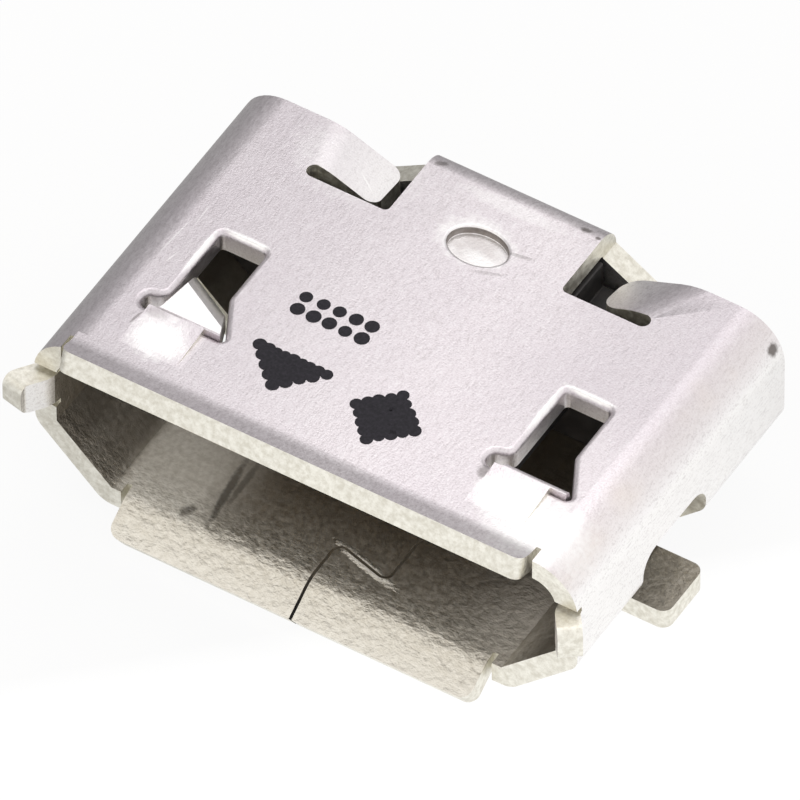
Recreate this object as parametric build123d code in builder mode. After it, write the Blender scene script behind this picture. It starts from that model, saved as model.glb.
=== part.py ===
from build123d import *
import os
from math import atan2, cos, degrees, radians, sin, tan

os.makedirs("parts", exist_ok=True)

# Micro USB type B socket for a circuit board, in millimetres.
# The board lies at Z = 0. The mouth faces -Y, and +Y is the rear, where the contact tails are soldered.
# The origin is on the board, half way across, under the rear edges of the two latch windows.

# Sheet and standard mouth, inside sizes
sheet = 0.30
mouth_width = 6.90
mouth_height = 1.85
mouth_chamfer = 0.75
roof_corner = 0.32
tight_bend = 0.10

# How far the folded tube reaches from the origin
mouth_reach = 2.50
wall_reach = 2.18
floor_reach = 1.20

# Lip above the mouth, flared up; each bend starts some way behind the mouth's edge
upper_lip_setback = 0.215
upper_lip_bend = 0.50
upper_lip_angle = 19
upper_lip_run = 0.19
upper_lip_left = 3.30
upper_lip_right = 3.06
upper_lip_corner = 0.12

# Two lips below the mouth, flared down past the board's edge
lower_lip_half = 2.50
lower_lip_setback = 0.16
lower_lip_bend = 0.15
lower_lip_angle = 33
lower_lip_run = 0.42
lower_lip_corner = 0.16

# Ears on the side walls, flared outward; the left one curls forward again at its tip
ear_low = 1.36
ear_height = 0.48
ear_setback = 0.10
ear_bend = 0.10
ear_angle = 37
right_ear_run = 0.30
left_ear_run = 0.215
ear_curl = 25
ear_curl_bend = 0.10
ear_tip = 0.05
ear_corner = 0.14
relief = 0.07

# Latch windows in the roof
window_margin = 0.135
window_width = 0.63
window_front = 1.47
window_shoulder = 0.84
bar_left = 0.56
bar_right = 0.61
bar_left_depth = 0.21
bar_right_depth = 0.07
bar_shoulder = 0.28
bar_end = 0.10
window_roll = 0.08
window_corner = 0.06
window_bend = 0.16

# Tabs left standing at the windows' front edges, and the raised ramps that carry them
ramp_rise = 0.07
ramp_setback = 0.41
ramp_width = 0.76
ramp_shift = 0.02
ramp_ridge = 0.08
tab_gap = 0.05
left_tab_angle = 14
left_tab_reach = 0.84
left_tab_slant = 0.41
left_tab_taper = 0.19
left_tab_roll = 0.12
right_tab_angle = 76
right_tab_reach = 0.36

# Oval dimple, pushed half way through the roof
dimple_at = 1.38
dimple_long = 0.78
dimple_wide = 0.54
dimple_depth = 0.12
dimple_roll = 0.05

# Rear of the roof: neck, slots and the two tongues that hold the housing
neck_width = 2.40
slot_front = 1.29
slot_width = 0.20
slot_end = 2.37
tongue_bend = 0.50
tongue_reach = 1.50
left_tongue_angle = 23
left_tongue_skew = 14
left_tongue_tip = 1.50
right_tongue_angle = 27
right_tongue_skew = 28
right_tongue_tip = 1.60
left_tongue_corner = 0.16
right_tongue_corner = 0.25

# Rear flap, hanging from the neck
flap_outer = 2.55
flap_bend = 0.05
flap_low = 0.45
flap_half = 2.20
shoulder_slope = 33
flap_corner = 0.25

# Solder feet, folded out of the side walls
foot_reach = 3.93
foot_width = 0.86
foot_at = 0.35
foot_corner = 0.14
arch_front = 1.02
arch_rear = 0.40
arch_top = 1.37
arch_corner = 0.30

# Seam under the mouth, with its dovetail
seam_gap = 0.04
seam_x = 0.05
dovetail_at = 1.20
dovetail_reach = 0.80
dovetail_root = 1.28
dovetail_tip = 1.72
dovetail_corner = 0.10

# Moulded housing
clearance = 0.03
base_front = 0.99
base_gap = 0.05
insert_setback = 0.75
insert_width = 3.32
insert_low = 1.15
insert_thick = 0.60
insert_edge = 0.12
rib_half = 1.24
pocket_depth = 0.45
pocket_end = 2.75

# Contacts
contact_count = 5
contact_pitch = 0.65
contact_width = 0.40
contact_sheet = 0.15
contact_bend = 0.08
contact_sunk = 0.10
contact_setback = 0.17
contact_drop = 1.75
tail_reach = 2.95

# Places worked out from the sizes above
floor = sheet
roof = floor + mouth_height
top = roof + sheet
wall = mouth_width / 2
side = wall + sheet
floor_half = wall - mouth_chamfer
roof_half = wall - roof_corner
neck_half = neck_width / 2
window_x = roof_half - window_margin - bar_right
slot_rear = slot_front + slot_width
upper_lip_bend_at = mouth_reach - upper_lip_setback
lower_lip_bend_at = mouth_reach - lower_lip_setback
ear_bend_at = mouth_reach - ear_setback
ramp_length = mouth_reach - ramp_setback - window_front
ramp_angle = degrees(atan2(ramp_rise, ramp_length))
base_rear = flap_outer - sheet - base_gap
insert_reach = mouth_reach - insert_setback
contact_reach = insert_reach - contact_setback
contact_top = insert_low + contact_sunk
past_sheet = 3 * sheet
past_top = 2 * top


def mouth_outline(grow=0):
    """Outline of the mouth, grown or shrunk all round, drawn flat with X across and Y up."""
    with BuildSketch() as outline:
        with BuildLine():
            Polyline(
                (-floor_half, floor),
                (floor_half, floor),
                (wall, floor + mouth_chamfer),
                (wall, roof),
                (-wall, roof),
                (-wall, floor + mouth_chamfer),
                close=True,
            )
        make_face()
        corners = outline.vertices().group_by(Axis.Y)
        fillet(corners[-1], roof_corner)
        fillet(corners[0] + corners[1], tight_bend)
        if grow:
            offset(amount=grow)
    return outline.sketch


def folded_strip(plane, start, heading, lead, bends, sheet_side):
    """Edge view of a strip one sheet thick: a straight lead, then bends, each with a run after it."""
    along = Vector(cos(radians(heading)), sin(radians(heading)))
    with BuildSketch(plane) as strip:
        with BuildLine():
            run = Line(Vector(*start) - lead * along, Vector(*start))
            for bend_radius, turn, run_length in bends:
                bend = JernArc(run @ 1, run % 1, bend_radius, turn)
                run = Line(bend @ 1, bend @ 1 + run_length * (bend % 1))
            offset(amount=sheet, side=sheet_side)
        make_face()
    return strip.sketch.face()


def corner_at(outline, x, y):
    """The corner of an outline at a given place."""
    return outline.vertices().sort_by_distance((x, y))[0]


def tip_edges(piece, axis, low_end=True):
    """The two edges through the sheet at the free end of a strip."""
    through = piece.edges().filter_by(lambda edge: abs(edge.length - sheet) < sheet / 100)
    return through.group_by(axis)[0 if low_end else -1]


def add_pair(piece, mode=Mode.ADD):
    """A piece of the right side and its mirror image on the left."""
    add(piece, mode=mode)
    add(mirror(piece, about=Plane.YZ, mode=Mode.PRIVATE), mode=mode)


def window_tab(angle, reach, slant=0, taper=0):
    """Ramp and tab of one latch window, around X = 0, cut in plan and bent down into the window."""
    ramp_front = -window_front - ramp_length - relief
    ramp_left = -ramp_width / 2 - ramp_shift
    ramp_right = ramp_width / 2 - ramp_shift
    tab_left = -window_width / 2 + tab_gap
    tab_right = bar_right - relief / 2
    with BuildPart() as tab:
        section = folded_strip(
            Plane.YZ, (-window_front, top + ramp_rise), ramp_angle, ramp_length,
            [(ramp_ridge, -ramp_angle - angle, reach + slant)], Side.RIGHT,
        )
        extrude(section, amount=bar_right, both=True)
        with BuildSketch() as plan:
            with BuildLine():
                Polyline(
                    (ramp_left, ramp_front),
                    (ramp_right, ramp_front),
                    (ramp_right, -window_front),
                    (tab_right, -window_front),
                    (tab_right - taper, -window_front + reach - slant),
                    (tab_left, -window_front + reach),
                    (tab_left, -window_front),
                    (ramp_left, -window_front),
                    close=True,
                )
            make_face()
            fillet(corner_at(plan, tab_left, -window_front), relief)
        extrude(amount=past_top, mode=Mode.INTERSECT)
    return tab.part


def tongue_gap(skew):
    """Round-ended slot and the place of the tongue behind it, of the right side."""
    slot_turn = slot_end - slot_width / 2
    with BuildSketch() as gap:
        with Locations((neck_half, slot_front)):
            Rectangle(slot_turn - neck_half, slot_width, align=(Align.MIN, Align.MIN))
        with Locations((slot_turn, slot_front + slot_width / 2)):
            Circle(slot_width / 2)
        with BuildLine():
            Polyline(
                (neck_half, slot_rear - relief),
                (slot_turn, slot_rear - relief),
                (slot_turn, slot_rear),
                (slot_end, slot_rear),
                (slot_end + (wall_reach - slot_rear) * tan(radians(skew)), wall_reach),
                (neck_half, wall_reach),
                close=True,
            )
        make_face()
    return gap.sketch


def rear_tongue(angle, tip, skew, corner):
    """Tongue of the right side, bent down along a line that runs askew to hold the housing."""
    across = (-cos(radians(skew)), sin(radians(skew)), 0)
    along = (sin(radians(skew)), cos(radians(skew)), 0)
    bend_line = Plane(origin=(slot_end, slot_rear, top), x_dir=across, z_dir=along)
    with BuildPart() as strip:
        section = folded_strip(
            bend_line, (0, 0), 0, relief, [(tongue_bend + sheet, -angle, tongue_reach)], Side.RIGHT
        )
        extrude(section, amount=wall_reach, both=True)
        with BuildSketch():
            with Locations((tip, slot_rear)):
                Rectangle(side - tip, wall_reach - slot_rear, align=(Align.MIN, Align.MIN))
            fillet(vertices().group_by(Axis.X)[0], corner)
        extrude(amount=past_top, mode=Mode.INTERSECT)
    return strip.part


def mouth_ear(bends):
    """Ear of the right side, bent outward from the mouth's edge."""
    with BuildPart() as ear:
        section = folded_strip(
            Plane.XY.offset(ear_low), (side, -ear_bend_at), -90, relief, bends, Side.RIGHT
        )
        extrude(section, amount=ear_height)
        fillet(tip_edges(ear, Axis.Y), ear_corner)
    return ear.part


# Upper lip
with BuildPart() as upper_lip:
    section = folded_strip(
        Plane.YZ, (-upper_lip_bend_at, top), 180, relief,
        [(upper_lip_bend, -upper_lip_angle, upper_lip_run)], Side.LEFT,
    )
    extrude(section, amount=upper_lip_right)
    extrude(section, amount=-upper_lip_left)
    fillet(tip_edges(upper_lip, Axis.Y), upper_lip_corner)

# Lower lips, still in one piece until the seam parts them
with BuildPart() as lower_lips:
    section = folded_strip(
        Plane.YZ, (-lower_lip_bend_at, 0), 180, relief,
        [(lower_lip_bend, lower_lip_angle, lower_lip_run)], Side.RIGHT,
    )
    extrude(section, amount=lower_lip_half, both=True)
    fillet(tip_edges(lower_lips, Axis.Y), lower_lip_corner)

# Solder foot of the right side, flat on the board
with BuildPart() as foot:
    foot_root = floor_half - sheet
    with BuildSketch():
        with Locations((foot_root, -foot_at)):
            Rectangle(foot_reach - foot_root, foot_width, align=(Align.MIN, Align.CENTER))
    extrude(amount=sheet)
    fillet(foot.edges().filter_by(Axis.Z).group_by(Axis.X)[-1], foot_corner)

# Arch in the right side wall, where the foot was folded out
with BuildPart() as foot_arch:
    with BuildSketch(Plane.YZ.offset(floor_half - sheet / 2)):
        with Locations(((arch_rear - arch_front) / 2, 0)):
            Rectangle(arch_front + arch_rear, 2 * arch_top)
    extrude(amount=side)
    fillet(foot_arch.edges().filter_by(Axis.X).group_by(Axis.Z)[-1], arch_corner)

# Flap, with the neck that carries it; its shoulders slope down from the neck
with BuildPart() as flap:
    flap_turn = flap_bend + sheet
    section = folded_strip(
        Plane.YZ, (flap_outer - flap_turn, top), 0, flap_outer - flap_turn - slot_front,
        [(flap_turn, -90, top - flap_turn - flap_low)], Side.RIGHT,
    )
    extrude(section, amount=flap_half, both=True)
    fillet(tip_edges(flap, Axis.Z), flap_corner)
    shoulder_start = top - flap_turn
    shoulder_end = shoulder_start - (flap_half - neck_half) * tan(radians(shoulder_slope))
    with BuildSketch(Plane.XZ):
        with BuildLine():
            Polyline(
                (neck_half, shoulder_start),
                (flap_half, shoulder_end),
                (flap_half, top),
                (neck_half, top),
                close=True,
            )
        make_face()
        mirror(about=Plane.YZ)
    extrude(amount=-flap_outer, mode=Mode.SUBTRACT)

# Tab of the left window, with its tip rolled down
with BuildPart() as left_tab:
    add(window_tab(left_tab_angle, left_tab_reach, left_tab_slant, left_tab_taper))
    tip_face = left_tab.faces().sort_by(Axis.Y)[-1]
    fillet(tip_face.edges().sort_by(Axis.Z)[-1], left_tab_roll)

# Outline of one latch window: a slot with a crossbar at the front, around X = 0
with BuildSketch() as window:
    with BuildLine():
        Polyline(
            (-window_width / 2, 0),
            (window_width / 2, 0),
            (window_width / 2, -window_shoulder),
            (bar_right, -window_front + bar_right_depth),
            (bar_right, -window_front),
            (-bar_left, -window_front),
            (-bar_left, -window_front + bar_left_depth),
            (-window_width / 2, -window_front + bar_shoulder),
            close=True,
        )
    make_face()
    fillet(window.vertices().group_by(Axis.X)[0], bar_end)
    fillet(corner_at(window, -window_width / 2, -window_front + bar_shoulder), window_bend)
    fillet(corner_at(window, window_width / 2, -window_shoulder), window_bend)
    fillet(corner_at(window, bar_right, -window_front), window_corner)
    fillet(window.vertices().group_by(Axis.Y)[-1], window_corner)

# Seam, drawn as a band as wide as the gap
with BuildSketch() as seam:
    with BuildLine():
        FilletPolyline(
            (seam_x, -mouth_reach - upper_lip_bend),
            (seam_x, -dovetail_at - dovetail_root / 2),
            (seam_x + dovetail_reach, -dovetail_at - dovetail_tip / 2),
            (seam_x + dovetail_reach, -dovetail_at + dovetail_tip / 2),
            (seam_x, -dovetail_at + dovetail_root / 2),
            (seam_x, floor_reach + sheet),
            radius=dovetail_corner,
        )
    trace(line_width=seam_gap)

# Shell: first the tube, then what is cut from it, then what is folded from it
with BuildPart() as shell:
    with BuildSketch(Plane.XZ.offset(-wall_reach)):
        add(mouth_outline(sheet))
        add(mouth_outline(), mode=Mode.SUBTRACT)
    extrude(amount=wall_reach + mouth_reach)

    # The mouth's edge is cut back to where each lip and ear starts to bend
    with BuildSketch(Plane.XY.offset(roof - sheet)):
        with Locations((-upper_lip_left - relief, -upper_lip_bend_at)):
            Rectangle(
                upper_lip_left + upper_lip_right + 2 * relief, sheet, align=(Align.MIN, Align.MAX)
            )
    extrude(amount=past_sheet, mode=Mode.SUBTRACT)
    with BuildSketch():
        with Locations((0, -lower_lip_bend_at)):
            Rectangle(2 * lower_lip_half + 2 * relief, sheet, align=(Align.CENTER, Align.MAX))
    extrude(amount=sheet, mode=Mode.SUBTRACT)
    with BuildSketch(Plane.XY.offset(ear_low - relief)):
        with Locations((-side, -ear_bend_at), (side, -ear_bend_at)):
            Rectangle(past_sheet, sheet, align=(Align.CENTER, Align.MAX))
    extrude(amount=ear_height + 2 * relief, mode=Mode.SUBTRACT)

    # Latch windows, their upper edges drawn in by the punch
    with BuildSketch(Plane.XY.offset(roof)):
        with Locations((-window_x, 0), (window_x, 0)):
            add(window.sketch)
    extrude(amount=sheet, mode=Mode.SUBTRACT)
    roof_face = shell.faces().sort_by(Axis.Z)[-1]
    fillet([edge for wire in roof_face.inner_wires() for edge in wire.edges()], window_roll)

    # Ramps: hollow below, raised above, with the tabs bent down into the windows
    for x in (-window_x, window_x):
        with BuildSketch(Plane.YZ.offset(x - ramp_shift)):
            Polygon(
                (-window_front, roof), (-window_front, roof + ramp_rise),
                (-window_front - ramp_length, roof), align=None,
            )
        extrude(amount=ramp_width / 2, both=True, mode=Mode.SUBTRACT)
    with Locations((-window_x, 0)):
        add(left_tab.part)
    with Locations((window_x, 0)):
        add(window_tab(right_tab_angle, right_tab_reach))

    # Slots at the rear, and the places of the two tongues
    with BuildSketch(Plane.XY.offset(roof)):
        add(tongue_gap(right_tongue_skew))
        add(mirror(tongue_gap(left_tongue_skew), about=Plane.YZ, mode=Mode.PRIVATE))
    extrude(amount=sheet, mode=Mode.SUBTRACT)

    # Floor, cut short at the rear for the contact tails
    with BuildSketch():
        with Locations((0, floor_reach)):
            Rectangle(2 * floor_half, wall_reach, align=(Align.CENTER, Align.MIN))
    extrude(amount=sheet, mode=Mode.SUBTRACT)

    add_pair(foot_arch.part, mode=Mode.SUBTRACT)
    add_pair(foot.part)
    add(mouth_ear([(ear_bend, ear_angle, right_ear_run)]))
    left_ear = mouth_ear([(ear_bend, ear_angle, left_ear_run), (ear_curl_bend + sheet, -ear_curl, ear_tip)])
    add(mirror(left_ear, about=Plane.YZ, mode=Mode.PRIVATE))
    add(upper_lip.part)
    add(lower_lips.part)
    add(flap.part)
    add(rear_tongue(right_tongue_angle, right_tongue_tip, right_tongue_skew, right_tongue_corner))
    left_tongue = rear_tongue(left_tongue_angle, left_tongue_tip, left_tongue_skew, left_tongue_corner)
    add(mirror(left_tongue, about=Plane.YZ, mode=Mode.PRIVATE))

    slot_corners = shell.edges().filter_by(Axis.Z)
    for x in (-neck_half, neck_half):
        fillet(slot_corners.sort_by_distance((x, slot_front, roof))[:1], relief)

    # Dimple, with its boss under the roof
    with BuildSketch(Plane.XY.offset(top)):
        with Locations((0, dimple_at)):
            Ellipse(dimple_long / 2, dimple_wide / 2)
    extrude(amount=-dimple_depth, mode=Mode.SUBTRACT)
    dimple_rim = shell.edges().filter_by(Plane.XY).filter_by_position(Axis.Z, top, top)
    fillet(dimple_rim.sort_by_distance((0, dimple_at, top))[:1], dimple_roll)
    with BuildSketch(Plane.XY.offset(roof)):
        with Locations((0, dimple_at)):
            Ellipse(dimple_long / 2, dimple_wide / 2)
    extrude(amount=-dimple_depth)

    # Seam, through the floor and between the lower lips
    with BuildSketch(Plane.XY.offset(-sheet)):
        add(seam.sketch)
    extrude(amount=past_sheet, mode=Mode.SUBTRACT)

shell.part.label = "shell"
export_step(shell.part, "parts/shell.step")

# Housing: a base that fills the rear of the tube, and the tongue that stands in the mouth
with BuildPart() as housing:
    with BuildSketch(Plane.XZ.offset(-base_rear)):
        with Locations((0, -clearance)):
            add(mouth_outline(-clearance))
    extrude(amount=base_rear - base_front)

    # The tongue carries the contacts in grooves along its underside
    with BuildSketch(Plane.XY.offset(insert_low)):
        with Locations((0, base_front + sheet)):
            Rectangle(insert_width, insert_reach + base_front + sheet, align=(Align.CENTER, Align.MAX))
    extrude(amount=insert_thick)
    insert_end = housing.faces().sort_by(Axis.Y)[0]
    chamfer(insert_end.edges(), insert_edge)

    # Pockets for the two rear tongues of the shell, on either side of the rib
    with BuildSketch(Plane.XY.offset(roof)):
        with Locations((rib_half, slot_front - relief)):
            Rectangle(pocket_end - rib_half, wall_reach, align=(Align.MIN, Align.MIN))
        mirror(about=Plane.YZ)
    extrude(amount=-pocket_depth, mode=Mode.SUBTRACT)

    # Recess for the dimple's boss
    with BuildSketch(Plane.XY.offset(roof)):
        with Locations((0, dimple_at)):
            Ellipse(dimple_long / 2 + clearance, dimple_wide / 2 + clearance)
    extrude(amount=-dimple_depth - clearance, mode=Mode.SUBTRACT)

    # Channels for the contacts, open below and at the rear so that they can be pushed in
    with Locations(Plane.XY):
        with GridLocations(contact_pitch, 1, contact_count, 1):
            with Locations((0, -contact_reach - clearance, contact_top)):
                Box(
                    contact_width + 2 * clearance, contact_reach + base_rear + sheet,
                    contact_sheet + clearance, align=(Align.CENTER, Align.MIN, Align.MAX),
                    mode=Mode.SUBTRACT,
                )
            with Locations((0, contact_drop - contact_sheet - contact_bend - clearance, contact_top)):
                Box(
                    contact_width + 2 * clearance, base_rear, contact_top,
                    align=(Align.CENTER, Align.MIN, Align.MAX), mode=Mode.SUBTRACT,
                )

housing.part.label = "housing"
export_step(housing.part, "parts/housing.step")

# Contact: under the tongue, back through the base, down behind it and out along the board
with BuildPart() as contact:
    with BuildSketch(Plane.YZ):
        with BuildLine():
            outer_turn = contact_bend + contact_sheet
            arm = Line((-contact_reach, contact_top), (contact_drop - outer_turn, contact_top))
            drop = JernArc(arm @ 1, arm % 1, outer_turn, -90)
            leg = Line(drop @ 1, (contact_drop, outer_turn))
            heel = JernArc(leg @ 1, leg % 1, contact_bend, 90)
            Line(heel @ 1, (tail_reach, contact_sheet))
            offset(amount=contact_sheet, side=Side.RIGHT)
        make_face()
    extrude(amount=contact_width / 2, both=True)

for number, place in enumerate(GridLocations(contact_pitch, 1, contact_count, 1), start=1):
    placed = contact.part.moved(place)
    placed.label = f"contact_{number}"
    export_step(placed, f"parts/contact_{number}.step")
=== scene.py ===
from math import cos, pi, radians, sin

import bmesh
import bpy
from mathutils import Matrix, Vector
from mathutils.bvhtree import BVHTree


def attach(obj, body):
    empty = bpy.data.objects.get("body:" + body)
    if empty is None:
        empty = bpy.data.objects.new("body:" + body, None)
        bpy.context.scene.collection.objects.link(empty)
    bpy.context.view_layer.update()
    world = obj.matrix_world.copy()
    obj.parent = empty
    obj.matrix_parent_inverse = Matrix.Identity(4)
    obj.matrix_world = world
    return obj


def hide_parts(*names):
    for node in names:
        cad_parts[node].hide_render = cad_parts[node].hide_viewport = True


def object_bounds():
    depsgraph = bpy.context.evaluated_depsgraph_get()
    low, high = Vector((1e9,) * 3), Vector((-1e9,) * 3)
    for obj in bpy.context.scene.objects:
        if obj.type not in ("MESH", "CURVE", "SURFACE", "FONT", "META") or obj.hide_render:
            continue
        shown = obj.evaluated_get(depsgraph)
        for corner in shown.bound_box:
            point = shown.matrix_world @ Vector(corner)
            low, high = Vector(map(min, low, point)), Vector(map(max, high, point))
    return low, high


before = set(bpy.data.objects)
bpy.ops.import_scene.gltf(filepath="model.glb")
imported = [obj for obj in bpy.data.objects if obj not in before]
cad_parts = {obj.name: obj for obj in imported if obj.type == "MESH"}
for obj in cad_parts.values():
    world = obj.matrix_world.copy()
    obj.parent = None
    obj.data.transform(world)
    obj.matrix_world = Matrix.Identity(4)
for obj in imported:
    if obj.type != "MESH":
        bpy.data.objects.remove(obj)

cad_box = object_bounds()
mm = 0.001


# Shell. One stamping of thin steel, plated satin grey and folded into a tube, with its lips, ears and
# feet bent out of the same sheet. The press leaves soft folded faces, a paler sheared edge all round the
# blank, and drag marks where the tools slid inside the mouth.

def made_plain(piece):
    """Gives a piece the mesh that its modifiers make, and takes them off."""
    evaluated = piece.evaluated_get(bpy.context.evaluated_depsgraph_get())
    finished = bpy.data.meshes.new_from_object(evaluated)
    piece.modifiers.clear()
    piece.data = finished


def softened_copy(node_name, edge_width, finishes):
    """Merged copy of a CAD node in millimetres, with its sharp edges broken in the last finish."""
    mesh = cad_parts[node_name].data.copy()
    mesh.name = node_name + "_surface"
    mesh.transform(Matrix.Scale(1 / mm, 4))
    work = bmesh.new()
    work.from_mesh(mesh)
    bmesh.ops.remove_doubles(work, verts=work.verts, dist=0.0005)
    bmesh.ops.dissolve_limit(
        work, angle_limit=radians(0.5), verts=work.verts, edges=work.edges, use_dissolve_boundaries=False
    )
    work.to_mesh(mesh)
    work.free()
    mesh.materials.clear()
    for finish in finishes:
        mesh.materials.append(finish)
    piece = bpy.data.objects.new(node_name + "_surface", mesh)
    bpy.context.scene.collection.objects.link(piece)
    bevel = piece.modifiers.new("broken edges", "BEVEL")
    bevel.width = edge_width
    bevel.segments = 2
    bevel.limit_method = "ANGLE"
    bevel.angle_limit = radians(35)
    bevel.use_clamp_overlap = True
    bevel.material = len(finishes) - 1
    bevel.harden_normals = False
    made_plain(piece)
    piece.data.polygons.foreach_set("use_smooth", [True] * len(piece.data.polygons))
    piece.data.set_sharp_from_angle(angle=radians(32))
    leveled = piece.modifiers.new("flat faces stay flat", "WEIGHTED_NORMAL")
    leveled.mode = "FACE_AREA"
    leveled.weight = 100
    leveled.keep_sharp = True
    made_plain(piece)
    return piece


def noise(nodes, links, coords, scale, detail, roughness):
    """Noise texture of the object's own coordinates; scale is in grains to a metre."""
    node = nodes.new("ShaderNodeTexNoise")
    node.inputs["Scale"].default_value = scale
    node.inputs["Detail"].default_value = detail
    node.inputs["Roughness"].default_value = roughness
    links.new(coords, node.inputs["Vector"])
    return node.outputs["Fac"]


def between(nodes, links, value, low, high, out_low, out_high):
    """Value taken from one range to another, held at the ends."""
    node = nodes.new("ShaderNodeMapRange")
    node.inputs["From Min"].default_value = low
    node.inputs["From Max"].default_value = high
    node.inputs["To Min"].default_value = out_low
    node.inputs["To Max"].default_value = out_high
    links.new(value, node.inputs["Value"])
    return node.outputs["Result"]


def blend_colours(nodes, links, amount, first, second):
    """Colour mixed from first to second by amount; either may be a link or a plain colour."""
    node = nodes.new("ShaderNodeMix")
    node.data_type = "RGBA"
    for socket, colour in ((node.inputs["A"], first), (node.inputs["B"], second)):
        if isinstance(colour, tuple):
            socket.default_value = (*colour, 1)
        else:
            links.new(colour, socket)
    links.new(amount, node.inputs["Factor"])
    return node.outputs["Result"]


def worked_out(nodes, links, operation, first, second):
    """One sum on two values; either may be a link or a plain number."""
    node = nodes.new("ShaderNodeMath")
    node.operation = operation
    for socket, value in ((node.inputs[0], first), (node.inputs[1], second)):
        if isinstance(value, (int, float)):
            socket.default_value = value
        else:
            links.new(value, socket)
    return node.outputs["Value"]


def product(nodes, links, first, *others):
    """Masks and plain numbers multiplied together."""
    for other in others:
        first = worked_out(nodes, links, "MULTIPLY", first, other)
    return first


def within(nodes, links, value, low, high):
    """Sharp mask: 1 where the value lies between two limits."""
    return product(
        nodes, links, worked_out(nodes, links, "GREATER_THAN", value, low),
        worked_out(nodes, links, "LESS_THAN", value, high),
    )


def tinted(nodes, links, tone, shade, *masks):
    """Tone with a shade laid over it where the masks are open."""
    return blend_colours(nodes, links, product(nodes, links, *masks), tone, shade)


def mottled(nodes, links, grain, low, high, dark, light):
    """Colour that runs from dark to light with a grain."""
    return blend_colours(nodes, links, between(nodes, links, grain, low, high, 0, 1), dark, light)


def bump(nodes, links, height, depth, strength, below=None):
    """Bump from a height, with its depth in metres."""
    node = nodes.new("ShaderNodeBump")
    node.inputs["Distance"].default_value = depth
    node.inputs["Strength"].default_value = strength
    links.new(height, node.inputs["Height"])
    if below is not None:
        links.new(below, node.inputs["Normal"])
    return node.outputs["Normal"]


def stretched(nodes, links, coords, turn, squeeze):
    """Coordinates turned about the vertical, then squeezed, so that a grain runs in streaks."""
    node = nodes.new("ShaderNodeMapping")
    node.inputs["Rotation"].default_value = (0, 0, radians(turn))
    node.inputs["Scale"].default_value = squeeze
    links.new(coords, node.inputs["Vector"])
    return node.outputs["Vector"]


def patch(nodes, links, coords, ragged, centre, half_size, turn=0):
    """Soft-edged oval patch seen from above, at a place in millimetres; ragged is a noise that frays it."""
    place = nodes.new("ShaderNodeMapping")
    place.vector_type = "TEXTURE"
    place.inputs["Location"].default_value = (centre[0] * mm, centre[1] * mm, 0)
    place.inputs["Rotation"].default_value = (0, 0, radians(turn))
    place.inputs["Scale"].default_value = (half_size[0] * mm, half_size[1] * mm, 1)
    links.new(coords, place.inputs["Vector"])
    distance = nodes.new("ShaderNodeVectorMath")
    distance.operation = "LENGTH"
    links.new(place.outputs["Vector"], distance.inputs[0])
    frayed = worked_out(nodes, links, "ADD", distance.outputs["Value"], ragged)
    return between(nodes, links, frayed, 1.05, 1.60, 1, 0)


def dressed(nodes, links, surface, colour, grain, roughness, normal):
    """Joins a colour, a roughness that follows a grain, and a bumped normal to the surface."""
    links.new(colour, surface.inputs["Base Color"])
    links.new(between(nodes, links, grain, 0.3, 0.7, *roughness), surface.inputs["Roughness"])
    links.new(normal, surface.inputs["Normal"])


def new_material(name):
    """Material with a Principled surface, and the parts that its nodes are built from."""
    material = bpy.data.materials.new(name)
    material.use_nodes = True
    tree = material.node_tree
    coords = tree.nodes.new("ShaderNodeTexCoord").outputs["Object"]
    return material, tree.nodes, tree.links, coords, tree.nodes["Principled BSDF"]


def axes_of(nodes, links, vector):
    """The three parts of a vector: to the right, to the rear and up."""
    parts = nodes.new("ShaderNodeSeparateXYZ")
    links.new(vector, parts.inputs["Vector"])
    return parts.outputs["X"], parts.outputs["Y"], parts.outputs["Z"]


# Outer face of the sheet: fine speckle and short streaks, lilac grey on the roof, and at the sides
# a paler, warmer base that is painted light
plating, nodes, links, coords, surface = new_material("satin_plating")
surface.inputs["Metallic"].default_value = 1.0
across, back, up = axes_of(nodes, links, coords)
speckle = noise(nodes, links, coords, 44000, 2, 0.6)
streaks = noise(nodes, links, stretched(nodes, links, coords, 35, (1, 0.35, 1)), 28000, 2, 0.6)
clouds = noise(nodes, links, coords, 700, 2, 0.5)
ragged = noise(nodes, links, coords, 11000, 3, 0.6)
on_roof = between(nodes, links, up, 2.0 * mm, 2.43 * mm, 0, 1)
# Painted light: the sides get a paler base than the roof
side_tone = mottled(nodes, links, clouds, 0.3, 0.7, (0.97, 0.955, 0.94), (1.0, 0.99, 0.975))
roof_tone = mottled(nodes, links, clouds, 0.3, 0.7, (0.80, 0.745, 0.775), (0.83, 0.78, 0.80))
tone = blend_colours(nodes, links, on_roof, side_tone, roof_tone)

pit, glint = (0.50, 0.46, 0.46), (0.98, 0.96, 0.97)
grain = worked_out(
    nodes, links, "ADD", product(nodes, links, speckle, 0.55), product(nodes, links, streaks, 0.45)
)
tone = tinted(nodes, links, tone, pit, between(nodes, links, grain, 0.36, 0.50, 0.42, 0))
tone = tinted(nodes, links, tone, glint, between(nodes, links, grain, 0.52, 0.66, 0, 0.55))

# The roof is painted darker toward the left and the right rear as painted shade, and tan along the right
# bend
painted_roof_shade, tan = (0.42, 0.385, 0.42), (0.86, 0.77, 0.69)
to_left = between(nodes, links, across, -2.9 * mm, 0.6 * mm, 0.32, 0)
to_right = product(
    nodes, links, between(nodes, links, across, 0.6 * mm, 2.4 * mm, 0, 0.26),
    between(nodes, links, back, -1.3 * mm, 0.2 * mm, 0, 1),
)
tone = tinted(nodes, links, tone, painted_roof_shade, worked_out(nodes, links, "ADD", to_left, to_right), on_roof)
tone = tinted(
    nodes, links, tone, tan,
    between(nodes, links, across, 3.22 * mm, 3.42 * mm, 0, 1),
    between(nodes, links, across, 3.56 * mm, 3.70 * mm, 1, 0),
    between(nodes, links, clouds, 0.42, 0.62, 0.15, 0.60),
)
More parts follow.
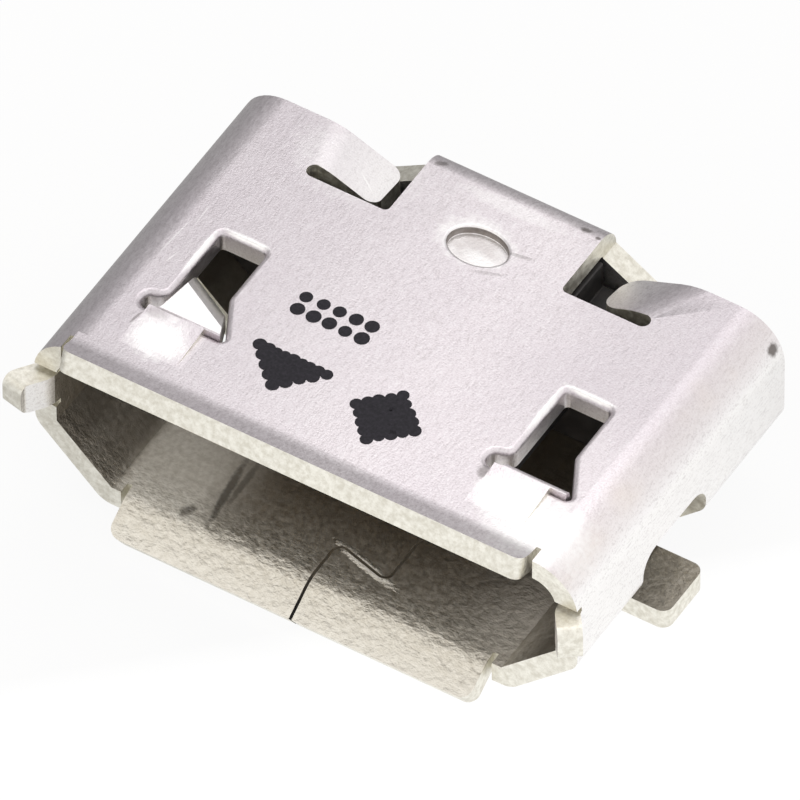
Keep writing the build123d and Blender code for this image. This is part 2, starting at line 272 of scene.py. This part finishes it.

# Marks on the roof: where each is, its half size, its turn in degrees and how strong it is
# Shades of the marks: dark for grime and painted shade, white for scratches and painted highlights, and a
# painted shade for the dimple's floor
grime_and_shade, scratch_and_highlight_white, painted_dimple_shade = (0.16, 0.14, 0.13), (1.0, 0.99, 0.98), (0.74, 0.70, 0.69)
for centre, half_size, turn, depth, shade in (
    # painted highlights on the ramps and at the front right corner
    ((-2.42, -1.84), (0.40, 0.33), 0, 0.9, scratch_and_highlight_white),
    ((2.36, -1.84), (0.42, 0.36), 0, 0.95, scratch_and_highlight_white),
    ((2.95, -2.05), (0.70, 0.55), 0, 0.85, scratch_and_highlight_white),
    # painted highlights on the rims of the two windows
    ((-2.75, -0.40), (0.42, 0.045), 90, 0.85, scratch_and_highlight_white),
    ((-2.36, 0.055), (0.36, 0.045), 0, 0.85, scratch_and_highlight_white),
    ((2.02, -0.40), (0.46, 0.045), 90, 0.85, scratch_and_highlight_white),
    ((2.38, 0.055), (0.36, 0.045), 0, 0.85, scratch_and_highlight_white),
    # painted highlights on the dimple's rim, the left tongue and the neck of the flap, and painted shade on
    # the dimple's floor
    ((-0.05, 1.42), (0.52, 0.38), 0, 0.9, scratch_and_highlight_white),
    ((-0.03, 1.40), (0.36, 0.25), 0, 0.9, painted_dimple_shade),
    ((-1.90, 1.75), (0.85, 0.60), 0, 0.40, scratch_and_highlight_white),
    ((0.05, 2.10), (0.75, 0.12), 0, 0.40, scratch_and_highlight_white),
    # painted shade beside the dimple and in the creases at the windows, and dark marks on the fold of the
    # flap and on the right shoulder
    ((0.32, 1.07), (0.22, 0.03), 20, 0.25, grime_and_shade),
    ((0.52, 1.50), (0.20, 0.03), 10, 0.35, grime_and_shade),
    ((-2.52, -1.465), (0.26, 0.012), 0, 0.5, grime_and_shade),
    ((-2.84, -1.66), (0.14, 0.020), 80, 0.5, grime_and_shade),
    ((-2.64, -1.54), (0.16, 0.08), 0, 0.25, grime_and_shade),
    ((1.92, -1.60), (0.09, 0.12), 20, 0.6, grime_and_shade),
    ((0.96, 2.26), (0.09, 0.05), 10, 0.8, grime_and_shade),
    ((1.15, 2.22), (0.04, 0.03), 0, 0.8, grime_and_shade),
    ((-1.05, 2.28), (0.09, 0.05), 30, 0.6, grime_and_shade),
    ((3.67, 2.03), (0.045, 0.10), 0, 0.9, grime_and_shade),
    # painted highlight on the bottom of the dimple, and scratches
    ((0.10, 1.27), (0.30, 0.14), -15, 0.8, scratch_and_highlight_white),
    ((-3.13, -0.35), (0.33, 0.012), 86, 0.45, scratch_and_highlight_white),
    ((-3.03, 0.10), (0.20, 0.010), 92, 0.4, scratch_and_highlight_white),
    ((-2.99, -0.65), (0.12, 0.010), 80, 0.5, scratch_and_highlight_white),
    ((-1.75, 1.72), (0.16, 0.012), -30, 0.8, scratch_and_highlight_white),
):
    marked = patch(nodes, links, coords, ragged, centre, half_size, turn)
    tone = tinted(nodes, links, tone, shade, marked, depth)

# The wall of the dimple lies in shade
in_shade = (0.22, 0.19, 0.17)
in_dimple = patch(nodes, links, coords, product(nodes, links, ragged, 0.2), (0, 1.38), (0.40, 0.28))
on_wall = within(nodes, links, up, 2.34 * mm, 2.43 * mm)
tone = tinted(nodes, links, tone, in_shade, in_dimple, on_wall, 0.9)

# The left tab stands level before its tip rolls down along a skew line, and both ramps are crowned
painted_tip_shade = (0.66, 0.63, 0.54)
skew_across, skew_back = 0.533, 0.846
past_ridge = between(nodes, links, back, -1.45 * mm, -0.45 * mm, 0, 1)
window_side = between(nodes, links, back, -1.47 * mm, -0.86 * mm, -1.775 * mm, -2.05 * mm)
at_left_tab = product(
    nodes, links, within(nodes, links, across, -2.68 * mm, window_side),
    worked_out(nodes, links, "LESS_THAN", back, -0.3 * mm),
)
level = product(nodes, links, past_ridge, at_left_tab)
# The level tab is painted white as a highlight
tone = tinted(nodes, links, tone, scratch_and_highlight_white, worked_out(nodes, links, "GREATER_THAN", level, 0.01), 0.85)
from_tip = worked_out(
    nodes, links, "ADD", product(nodes, links, across, skew_across), product(nodes, links, back, skew_back)
)
rolled = product(nodes, links, between(nodes, links, from_tip, -2.115 * mm, -1.945 * mm, 0, 1), at_left_tab)
# Its rolled tip is painted darker as shade
tone = tinted(nodes, links, tone, painted_tip_shade, rolled, 0.8)
off_middle = worked_out(nodes, links, "ABSOLUTE", across, 0)
at_ramp = within(nodes, links, off_middle, 1.95 * mm, 2.83 * mm)
crowned = product(nodes, links, between(nodes, links, back, -2.10 * mm, -1.46 * mm, 0, 1), at_ramp)
shaped = bump(nodes, links, grain, 0.006 * mm, 0.7)
shaped = bump(nodes, links, clouds, 0.03 * mm, 0.3, shaped)
shaped = bump(nodes, links, level, 0.48 * mm, 1.0, shaped)
shaped = bump(nodes, links, worked_out(nodes, links, "SUBTRACT", 1.0, rolled), 0.22 * mm, 1.0, shaped)
shaped = bump(nodes, links, crowned, 0.05 * mm, 1.0, shaped)
dressed(nodes, links, surface, tone, streaks, (0.36, 0.46), shaped)

# Sheared edge of the sheet: cream, with the fine stipple of broken metal
sheared, nodes, links, coords, surface = new_material("sheared_edge")
surface.inputs["Metallic"].default_value = 1.0
stipple = noise(nodes, links, coords, 13000, 3, 0.65)
cream = mottled(nodes, links, stipple, 0.35, 0.65, (0.72, 0.69, 0.60), (0.95, 0.93, 0.85))
shaped = bump(nodes, links, stipple, 0.008 * mm, 0.6)
dressed(nodes, links, surface, cream, stipple, (0.38, 0.55), shaped)

# Inner face of the sheet and the lower lips: duller and creamier, crumpled like fine leather by folding
inner, nodes, links, coords, surface = new_material("inner_plating")
across, back, up = axes_of(nodes, links, coords)
crumple = noise(nodes, links, stretched(nodes, links, coords, 10, (0.85, 1.25, 1)), 6500, 3, 0.6)
speckle = noise(nodes, links, coords, 14000, 3, 0.6)
ragged = noise(nodes, links, coords, 16000, 3, 0.6)
dull = mottled(nodes, links, speckle, 0.35, 0.65, (0.75, 0.705, 0.61), (0.94, 0.90, 0.81))

# Drag marks on the floor of the mouth
dragged, unlit = (0.10, 0.085, 0.07), (0.26, 0.225, 0.18)
painted_lip_light, burr_highlight_white = (1.0, 0.975, 0.91), (1.0, 0.96, 0.86)
for centre, half_size, turn, depth in (
    ((-1.50, -1.80), (0.62, 0.060), 98, 0.7),
    ((-1.40, -1.60), (0.45, 0.050), 92, 0.45),
    ((-1.74, -2.33), (0.13, 0.08), 60, 0.7),
):
    drag = patch(nodes, links, coords, ragged, centre, half_size, turn)
    dull = tinted(nodes, links, dull, dragged, drag, depth)

# Painted light toward the tips of the lips, painted shade deep in the tube and on its walls, and less of it
# on the feet
dull = tinted(nodes, links, dull, painted_lip_light, between(nodes, links, back, -3.4 * mm, -2.6 * mm, 0.9, 0))
deep = between(nodes, links, back, -2.35 * mm, -1.0 * mm, 0, 0.85)
off_left = between(nodes, links, across, -2.3 * mm, -1.0 * mm, 0.1, 1)
left_wall = between(nodes, links, across, -2.78 * mm, -2.66 * mm, 0.62, 0)
high = between(nodes, links, up, 0.35 * mm, 0.8 * mm, 0, 0.80)
off_middle = worked_out(nodes, links, "ABSOLUTE", across, 0)
on_foot = worked_out(nodes, links, "GREATER_THAN", off_middle, 3.3 * mm)
dim = worked_out(nodes, links, "MAXIMUM", product(nodes, links, deep, off_left), left_wall)
dim = worked_out(nodes, links, "SUBTRACT", dim, product(nodes, links, on_foot, 0.33))
dull = tinted(nodes, links, dull, unlit, worked_out(nodes, links, "MAXIMUM", dim, high))

# A burr stands along the seam's dovetail, painted white as its highlight, and the floor left of the drag
# marks is frosted
burr = patch(nodes, links, coords, ragged, (0.50, -1.965), (0.50, 0.075), -16)
dull = tinted(nodes, links, dull, burr_highlight_white, burr)
frosted = product(
    nodes, links, between(nodes, links, across, -2.70 * mm, -2.62 * mm, 0, 1),
    between(nodes, links, across, -1.75 * mm, -1.40 * mm, 0.75, 0),
    between(nodes, links, back, -2.65 * mm, -2.35 * mm, 0, 1),
    worked_out(nodes, links, "LESS_THAN", up, 0.4 * mm),
)
frosted = worked_out(nodes, links, "MAXIMUM", frosted, burr)
links.new(worked_out(nodes, links, "SUBTRACT", 1.0, frosted), surface.inputs["Metallic"])
on_lips = between(nodes, links, back, -2.5 * mm, -1.9 * mm, 1.0, 0.12)
on_right = between(nodes, links, across, 0.8 * mm, 2.2 * mm, 0.0, 0.7)
crumpled = product(nodes, links, crumple, worked_out(nodes, links, "MAXIMUM", on_lips, on_right))
shaped = bump(nodes, links, speckle, 0.004 * mm, 0.5)
shaped = bump(nodes, links, crumpled, 0.055 * mm, 0.7, shaped)
shaped = bump(nodes, links, burr, 0.030 * mm, 1.0, shaped)
dressed(nodes, links, surface, dull, speckle, (0.50, 0.64), shaped)

# Edges rubbed bright where the tools and other sockets touched them
rubbed, nodes, links, coords, surface = new_material("rubbed_edge")
surface.inputs["Metallic"].default_value = 1.0
rub = noise(nodes, links, coords, 7000, 3, 0.6)
bright = mottled(nodes, links, rub, 0.4, 0.6, (0.78, 0.75, 0.72), (0.97, 0.955, 0.94))
shaped = bump(nodes, links, rub, 0.003 * mm, 0.4)
dressed(nodes, links, surface, bright, rub, (0.26, 0.42), shaped)

# Walls of the seam: painted dark as the shade in the narrow gap between the lips, lighter further in
seam_wall, nodes, links, coords, surface = new_material("seam_wall")
surface.inputs["Metallic"].default_value = 1.0
across, back, up = axes_of(nodes, links, coords)
seam_noise = noise(nodes, links, coords, 9000, 3, 0.6)
painted_seam_shade = mottled(nodes, links, seam_noise, 0.35, 0.65, (0.05, 0.042, 0.035), (0.16, 0.14, 0.12))
seam_lighter_in = (0.62, 0.56, 0.46)
painted_seam_shade = tinted(nodes, links, painted_seam_shade, seam_lighter_in, between(nodes, links, back, -2.75 * mm, -2.35 * mm, 0, 0.85))
shaped = bump(nodes, links, seam_noise, 0.004 * mm, 0.4)
dressed(nodes, links, surface, painted_seam_shade, seam_noise, (0.45, 0.65), shaped)

edge_break = 0.018
shell = softened_copy("shell", edge_break, (plating, sheared, inner, seam_wall, rubbed))
shell_mesh = shell.data

# Levels in millimetres: the sheet's thickness, the roof outside and inside, the side walls' inner face, and
# how far past one of them a face may lie
sheet, top, roof, wall, skin = 0.30, 2.45, 2.15, 3.45, 0.01

# Bounds in millimetres of the seam with its dovetail, the windows on both sides, and the dimple
seam_left, seam_right, seam_rear = -0.1, 1.0, 1.25
window_near, window_far, window_front, window_rear = 1.8, 3.2, -1.48, 0.02
dimple_half, dimple_front, dimple_rear = 0.45, 1.0, 1.75

# A face lies on the sheet's surface where the sheet behind it is one thickness deep; the rest are cut. It
# is tried at the middle of its largest triangle, because the big faces have holes. The punch drew the
# windows' edges in, so those, the windows' walls and the dimple keep the plating.
tried_at = {}
shell_mesh.calc_loop_triangles()
for triangle in shell_mesh.loop_triangles:
    if triangle.area > tried_at.get(triangle.polygon_index, (-1,))[0]:
        tried_at[triangle.polygon_index] = (triangle.area, triangle.center.copy())
sheet_tree = BVHTree.FromObject(shell, bpy.context.evaluated_depsgraph_get())
outer_face, cut_face, inner_face, seam_face, broken_edge = range(5)
for face in shell_mesh.polygons:
    middle = tried_at[face.index][1]
    at_seam = middle.z < sheet + skin and seam_left < middle.x < seam_right and middle.y < seam_rear
    inside = abs(middle.x) < wall + skin and middle.y < 2.2 and middle.z < roof + skin
    if face.material_index == broken_edge:
        if at_seam and middle.x < 0.35 and middle.y > -2.9:
            face.material_index = inner_face
        continue
    hit = sheet_tree.ray_cast(middle - face.normal * 0.002, -face.normal)
    on_sheet = hit[0] is not None and abs(hit[3] - sheet) < 0.04
    rolled_down = face.normal.z > 0.2 and roof < middle.z < top + 0.08 and middle.y > -2.2
    window_wide = window_near < abs(middle.x) < window_far
    at_window = middle.z > roof and window_wide and window_front < middle.y < window_rear
    at_dimple = middle.z > roof and abs(middle.x) < dimple_half and dimple_front < middle.y < dimple_rear
    lip_end = face.normal.y < -0.7 and middle.y < -2.3
    if (on_sheet or rolled_down or at_window or at_dimple) and not lip_end:
        face.material_index = inner_face if inside else outer_face
    elif at_seam and abs(face.normal.z) < 0.3 and not lip_end:
        face.material_index = seam_face
    else:
        face.material_index = cut_face
shell_mesh.transform(Matrix.Scale(mm, 4))
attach(shell, "root")
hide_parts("shell")


# Ink marks. Dots of dark ink jetted on the roof before the sheet was folded: two plain rows of dots, a
# filled wedge and a filled lozenge, each a thin film with ragged round edges.
ink, nodes, links, coords, surface = new_material("jetted_ink")
surface.inputs["Specular IOR Level"].default_value = 0.3
flecks = noise(nodes, links, coords, 22000, 3, 0.6)
charcoal = mottled(nodes, links, flecks, 0.40, 0.75, (0.006, 0.005, 0.009), (0.028, 0.024, 0.033))
shaped = bump(nodes, links, flecks, 0.003 * mm, 0.5)
dressed(nodes, links, surface, charcoal, flecks, (0.40, 0.60), shaped)

# One tree jets every mark. Taper narrows a mark away from its Peak, which is a share of its length. The
# film's thickness is in millimetres
film = 0.004
dots = bpy.data.node_groups.new("jetted_dots", "GeometryNodeTree")
dots.interface.new_socket("Geometry", in_out="OUTPUT", socket_type="NodeSocketGeometry")
settings = {}
for name, kind, value in (
    ("Columns", "NodeSocketInt", 6), ("Rows", "NodeSocketInt", 2),
    ("Pitch", "NodeSocketFloat", 0.20 * mm), ("Dot", "NodeSocketFloat", 0.15 * mm),
    ("Taper", "NodeSocketFloat", 0.0), ("Peak", "NodeSocketFloat", 0.0),
    ("Place", "NodeSocketVector", (0, 0, 0)), ("Turn", "NodeSocketFloat", 0.0),
    ("Film", "NodeSocketFloat", film * mm), ("Seed", "NodeSocketInt", 1),
):
    settings[name] = dots.interface.new_socket(name, in_out="INPUT", socket_type=kind)
    settings[name].default_value = value
given = dots.nodes.new("NodeGroupInput").outputs
result = dots.nodes.new("NodeGroupOutput").inputs["Geometry"]


def sum_of(operation, first, second=0.0):
    """One sum inside the tree of the dots; each value may be a link or a plain number."""
    node = dots.nodes.new("ShaderNodeMath")
    node.operation = operation
    for socket, value in zip(node.inputs, (first, second)):
        if isinstance(value, (int, float)):
            socket.default_value = value
        else:
            dots.links.new(value, socket)
    return node.outputs["Value"]


def join(node, **values):
    """Plugs links or plain values into a node's named inputs; an underscore stands for a space."""
    for name, value in values.items():
        socket = node.inputs[name.replace("_", " ")]
        if isinstance(value, bpy.types.NodeSocket):
            dots.links.new(value, socket)
        else:
            socket.default_value = value
    return node


def half_span(count):
    """Half of what a number of dots spans."""
    return sum_of("MULTIPLY", sum_of("MULTIPLY", sum_of("SUBTRACT", count, 1), given["Pitch"]), 0.5)


half_long, half_wide = half_span(given["Columns"]), half_span(given["Rows"])
grid = join(
    dots.nodes.new("GeometryNodeMeshGrid"), Vertices_X=given["Columns"], Vertices_Y=given["Rows"],
    Size_X=sum_of("MULTIPLY", half_long, 2), Size_Y=sum_of("MULTIPLY", half_wide, 2),
)
spot = dots.nodes.new("ShaderNodeSeparateXYZ")
dots.links.new(dots.nodes.new("GeometryNodeInputPosition").outputs["Position"], spot.inputs["Vector"])
along = sum_of("DIVIDE", sum_of("ADD", spot.outputs["X"], half_long), sum_of("MULTIPLY", half_long, 2))
fall = sum_of("MULTIPLY", sum_of("ABSOLUTE", sum_of("SUBTRACT", along, given["Peak"])), given["Taper"])
limit = sum_of("MULTIPLY", half_wide, sum_of("SUBTRACT", 1.0, fall))
slack = 0.01 * mm
outside = sum_of("GREATER_THAN", sum_of("ABSOLUTE", spot.outputs["Y"]), sum_of("ADD", limit, slack))
kept = join(dots.nodes.new("GeometryNodeDeleteGeometry"), Geometry=grid.outputs["Mesh"], Selection=outside)

# Each dot strays a little, aside and upward, and its size varies by up to a tenth
aside, raised = 0.008 * mm, film / 2 * mm
stray = dots.nodes.new("FunctionNodeRandomValue")
stray.data_type = "FLOAT_VECTOR"
stray.inputs[0].default_value = (-aside, -aside, 0)
stray.inputs[1].default_value = (aside, aside, raised)
dots.links.new(given["Seed"], stray.inputs["Seed"])
strayed = join(
    dots.nodes.new("GeometryNodeSetPosition"), Geometry=kept.outputs["Geometry"], Offset=stray.outputs[0]
)
drop = join(
    dots.nodes.new("GeometryNodeMeshCylinder"), Vertices=16, Side_Segments=1, Fill_Segments=1,
    Radius=sum_of("MULTIPLY", given["Dot"], 0.5), Depth=given["Film"],
)
spread = dots.nodes.new("FunctionNodeRandomValue")
spread.data_type = "FLOAT"
spread.inputs[2].default_value = 0.90
spread.inputs[3].default_value = 1.10
dots.links.new(given["Seed"], spread.inputs["Seed"])
jetted = join(
    dots.nodes.new("GeometryNodeInstanceOnPoints"), Points=strayed.outputs["Geometry"],
    Instance=drop.outputs["Mesh"], Scale=spread.outputs[1],
)
turn = dots.nodes.new("ShaderNodeCombineXYZ")
dots.links.new(given["Turn"], turn.inputs["Z"])
placed = join(
    dots.nodes.new("GeometryNodeTransform"), Geometry=jetted.outputs["Instances"],
    Translation=given["Place"], Rotation=turn.outputs["Vector"],
)
real = join(dots.nodes.new("GeometryNodeRealizeInstances"), Geometry=placed.outputs["Geometry"])
inked = join(dots.nodes.new("GeometryNodeSetMaterial"), Geometry=real.outputs["Geometry"], Material=ink)
dots.links.new(inked.outputs["Geometry"], result)

on_top = (top + film / 2) * mm
for name, values in (
    ("ink_rows", {
        "Columns": 5, "Rows": 2, "Pitch": 0.225 * mm, "Dot": 0.18 * mm,
        "Place": (-0.84 * mm, -0.47 * mm, on_top), "Seed": 4,
    }),
    ("ink_wedge", {
        "Columns": 5, "Rows": 9, "Pitch": 0.115 * mm, "Dot": 0.17 * mm, "Taper": 1.0, "Turn": -pi / 2,
        "Place": (-0.91 * mm, -1.51 * mm, on_top), "Seed": 7,
    }),
    ("ink_lozenge", {
        "Columns": 9, "Rows": 9, "Pitch": 0.10 * mm, "Dot": 0.16 * mm, "Taper": 2.0, "Peak": 0.5,
        "Place": (0.49 * mm, -1.49 * mm, on_top), "Seed": 11,
    }),
):
    mark = bpy.data.objects.new(name, bpy.data.meshes.new(name))
    bpy.context.scene.collection.objects.link(mark)
    jet = mark.modifiers.new("jet", "NODES")
    jet.node_group = dots
    for setting, value in values.items():
        jet[settings[setting].identifier] = value
    made_plain(mark)
    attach(mark, "root")


# Housing. A black moulding of glass-filled plastic: the base fills the rear of the tube, and its tongue
# stands in the mouth and carries the contacts. Moulded edges are slightly rounded.
moulding, nodes, links, coords, surface = new_material("black_moulding")
flow = noise(nodes, links, coords, 6000, 4, 0.6)
fibres = noise(nodes, links, coords, 30000, 2, 0.5)
black = mottled(nodes, links, flow, 0.35, 0.7, (0.012, 0.011, 0.011), (0.035, 0.031, 0.029))
shaped = bump(nodes, links, fibres, 0.003 * mm, 0.5)
dressed(nodes, links, surface, black, flow, (0.42, 0.62), shaped)
edge_break = 0.02
housing = softened_copy("housing", edge_break, (moulding,))
housing.data.transform(Matrix.Scale(mm, 4))
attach(housing, "root")
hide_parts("housing")


# Contacts. Five strips of copper alloy, gold plated, pressed into the housing from the rear; they run
# under the tongue and come out at the back as flat tails for the board.
gold, nodes, links, coords, surface = new_material("gold_plating")
surface.inputs["Metallic"].default_value = 1.0
rolling = noise(nodes, links, coords, 8000, 3, 0.6)
yellow = mottled(nodes, links, rolling, 0.35, 0.7, (0.80, 0.56, 0.22), (0.92, 0.70, 0.36))
shaped = bump(nodes, links, rolling, 0.003 * mm, 0.3)
dressed(nodes, links, surface, yellow, rolling, (0.22, 0.36), shaped)
edge_break = 0.015
for number in range(1, 6):
    contact = softened_copy(f"contact_{number}", edge_break, (gold,))
    contact.data.transform(Matrix.Scale(mm, 4))
    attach(contact, "root")
    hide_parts(f"contact_{number}")


# Floor. A plain pale sheet under the lips, white to the camera and still holding the soft shadow. For the
# metal it glows as painted light, brighter in front and to the right than behind the object on the left.
floor_mesh = bpy.data.meshes.new("floor")
reach = 0.6
level = cad_box[0][2]
floor_mesh.from_pydata(
    [(-reach, -reach, level), (reach, -reach, level), (reach, reach, level), (-reach, reach, level)],
    [], [(0, 1, 2, 3)],
)
floor = bpy.data.objects.new("floor", floor_mesh)
bpy.context.scene.collection.objects.link(floor)
paper, nodes, links, coords, surface = new_material("pale_floor")
surface.inputs["Base Color"].default_value = (0.82, 0.81, 0.80, 1)
surface.inputs["Roughness"].default_value = 0.9
surface.inputs["Specular IOR Level"].default_value = 0.1
glow = nodes.new("ShaderNodeEmission")
glow.inputs["Color"].default_value = (1, 1, 1, 1)
ray = nodes.new("ShaderNodeLightPath")
across, back, up = axes_of(nodes, links, coords)
forward = worked_out(nodes, links, "SUBTRACT", across, back)
# Painted light: the glow that the metal sees runs from dim behind on the left to bright in front and on the
# right
mirrored = between(nodes, links, forward, -7 * mm, 4 * mm, 0.30, 1.08)
seen_by_metal = worked_out(nodes, links, "MULTIPLY", ray.outputs["Is Glossy Ray"], 0.9)
brightness = worked_out(nodes, links, "MAXIMUM", mirrored, ray.outputs["Is Camera Ray"])
links.new(brightness, glow.inputs["Strength"])
seen_by_camera = worked_out(nodes, links, "MULTIPLY", ray.outputs["Is Camera Ray"], 0.92)
mixed = nodes.new("ShaderNodeMixShader")
links.new(worked_out(nodes, links, "MAXIMUM", seen_by_camera, seen_by_metal), mixed.inputs["Fac"])
links.new(surface.outputs["BSDF"], mixed.inputs[1])
links.new(glow.outputs["Emission"], mixed.inputs[2])
links.new(mixed.outputs["Shader"], nodes["Material Output"].inputs["Surface"])
floor_mesh.materials.append(paper)


# Light. A pale surround that is dimmer low down behind the object on the left, and three soft boxes: one
# behind, one over the rear left and a warm one at the front left.
world = bpy.data.worlds.new("studio")
world.use_nodes = True
bpy.context.scene.world = world
nodes, links = world.node_tree.nodes, world.node_tree.links
background = nodes["Background"]
direction = nodes.new("ShaderNodeTexCoord").outputs["Generated"]
across, back, up = axes_of(nodes, links, direction)
forward = worked_out(nodes, links, "SUBTRACT", across, back)
low_down = between(nodes, links, forward, -1.2, 0.3, 0.34, 1.10)
on_right = between(nodes, links, across, -0.3, 0.5, 0, 0.50)
high_up = worked_out(nodes, links, "ADD", between(nodes, links, up, 0.4, 1.0, 0.53, 0.66), on_right)
rising = between(nodes, links, up, 0.05, 0.65, 0, 1)
pale = nodes.new("ShaderNodeMix")
pale.data_type = "FLOAT"
links.new(rising, pale.inputs["Factor"])
links.new(low_down, pale.inputs["A"])
links.new(high_up, pale.inputs["B"])
ray = nodes.new("ShaderNodeLightPath")
strength = nodes.new("ShaderNodeMix")
strength.data_type = "FLOAT"
strength.inputs["B"].default_value = 1.0
links.new(ray.outputs["Is Camera Ray"], strength.inputs["Factor"])
links.new(pale.outputs["Result"], strength.inputs["A"])
links.new(strength.outputs["Result"], background.inputs["Strength"])
background.inputs["Color"].default_value = (1.0, 0.99, 0.985, 1)


def soft_box(name, azimuth, elevation, distance, size, power, colour):
    """Square area lamp aimed at the middle of the object; azimuth 0 is straight in front of the mouth."""
    lamp = bpy.data.lights.new(name, "AREA")
    lamp.shape = "SQUARE"
    lamp.size = size
    lamp.energy = power
    lamp.color = colour
    stand = bpy.data.objects.new(name, lamp)
    bpy.context.scene.collection.objects.link(stand)
    toward = Vector((
        sin(radians(azimuth)) * cos(radians(elevation)),
        -cos(radians(azimuth)) * cos(radians(elevation)),
        sin(radians(elevation)),
    ))
    stand.location = toward * distance
    stand.rotation_euler = toward.to_track_quat("Z", "Y").to_euler()


soft_box("rear_box", 190, 66, 0.060, 0.034, 0.0026, (1.0, 0.97, 0.99))
soft_box("top_box", 214, 70, 0.080, 0.044, 0.0051, (1.0, 0.985, 0.98))
soft_box("front_box", -38, 46, 0.080, 0.050, 0.0061, (1.0, 0.97, 0.91))


# Camera. It looks down into the mouth from the front right, as in the photograph. Its place and lens were
# fitted to twelve points of the shell that can be told there.
azimuth, elevation, roll = radians(32.052), radians(48.401), radians(-0.472)
distance, off_right, off_up = 311.198, -0.205, 0.689
focal_pixels, picture_pixels = 26299.08, 800
toward = Vector((sin(azimuth) * cos(elevation), -cos(azimuth) * cos(elevation), sin(elevation)))
level_right = Vector((cos(azimuth), sin(azimuth), 0))
level_up = toward.cross(level_right)
right = cos(roll) * level_right + sin(roll) * level_up
up = cos(roll) * level_up - sin(roll) * level_right
place = (distance * toward + off_right * right + off_up * up) * mm
lens = bpy.data.cameras.new("camera")
lens.sensor_width = 36
lens.lens = focal_pixels / picture_pixels * lens.sensor_width
lens.clip_start = 0.01
lens.clip_end = 5
camera = bpy.data.objects.new("camera", lens)
bpy.context.scene.collection.objects.link(camera)
camera.matrix_world = Matrix((
    (right.x, up.x, toward.x, place.x),
    (right.y, up.y, toward.y, place.y),
    (right.z, up.z, toward.z, place.z),
    (0, 0, 0, 1),
))
bpy.context.scene.camera = camera
bpy.context.scene.view_settings.view_transform = "Standard"
